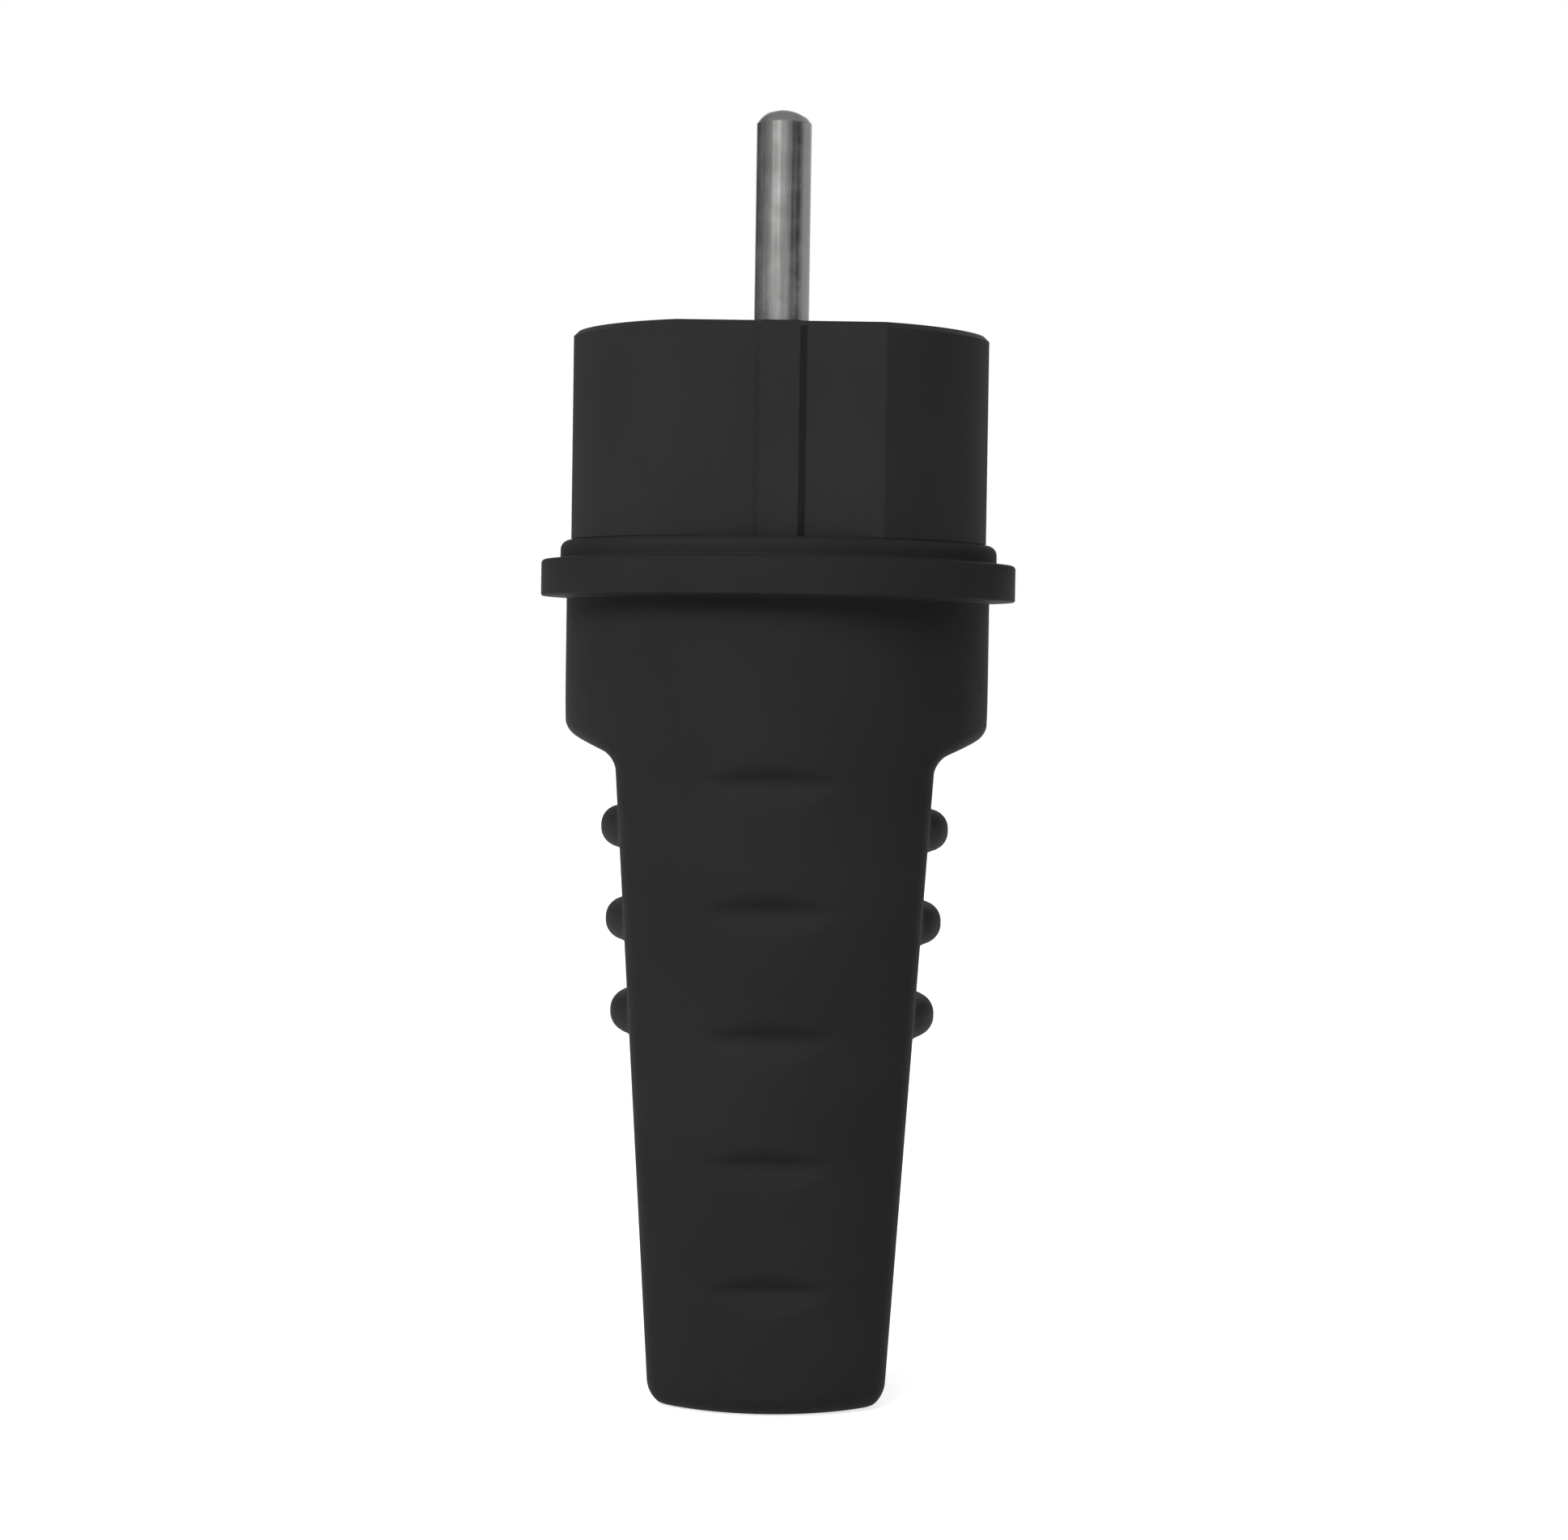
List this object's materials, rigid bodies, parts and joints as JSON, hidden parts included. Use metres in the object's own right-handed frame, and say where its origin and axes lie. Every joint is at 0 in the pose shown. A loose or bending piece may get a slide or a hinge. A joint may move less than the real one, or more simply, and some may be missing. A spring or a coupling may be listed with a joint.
{
  "type": "rubber power plug",
  "caption": "Straight two-pin rubber power plug with side earth contacts, a flanged round housing and a tapered grip with notches and ribs.",
  "frame": {"origin": "centre of the flat cable end that the plug stands on", "axes": "+Z along the plug's axis from the cable end towards the pins, Y along the line through both pins, +X towards the earth socket"},
  "size_m": [0.0425, 0.0424, 0.1134],
  "materials": {
    "rubber": "matt moulded rubber, fine grain",
    "carrier_plastic": "black moulded plastic, satin",
    "inner_plastic": "black moulded plastic",
    "plated_pin": "nickel plated, fine drawn lines along the pin",
    "plated_strip": "nickel plated strip",
    "bare_brass": "turned brass",
    "zinc_steel": "zinc plated steel screws and nuts"
  },
  "bodies": {
    "root": {"rubber_housing": "rubber", "contact_carrier": "carrier_plastic", "back_cover": "inner_plastic", "cord_clamp": "inner_plastic", "live_pin": "plated_pin", "neutral_pin": "plated_pin", "earth_strip": "plated_strip", "earth_socket": "bare_brass", "live_terminal_screw": "zinc_steel", "neutral_terminal_screw": "zinc_steel", "earth_terminal_screw": "zinc_steel", "earth_terminal_washer": "zinc_steel", "centre_screw": "zinc_steel", "centre_nut": "zinc_steel", "cord_clamp_screw_left": "zinc_steel", "cord_clamp_screw_right": "zinc_steel", "cord_clamp_nut_left": "zinc_steel", "cord_clamp_nut_right": "zinc_steel"}
  },
  "joints": []
}
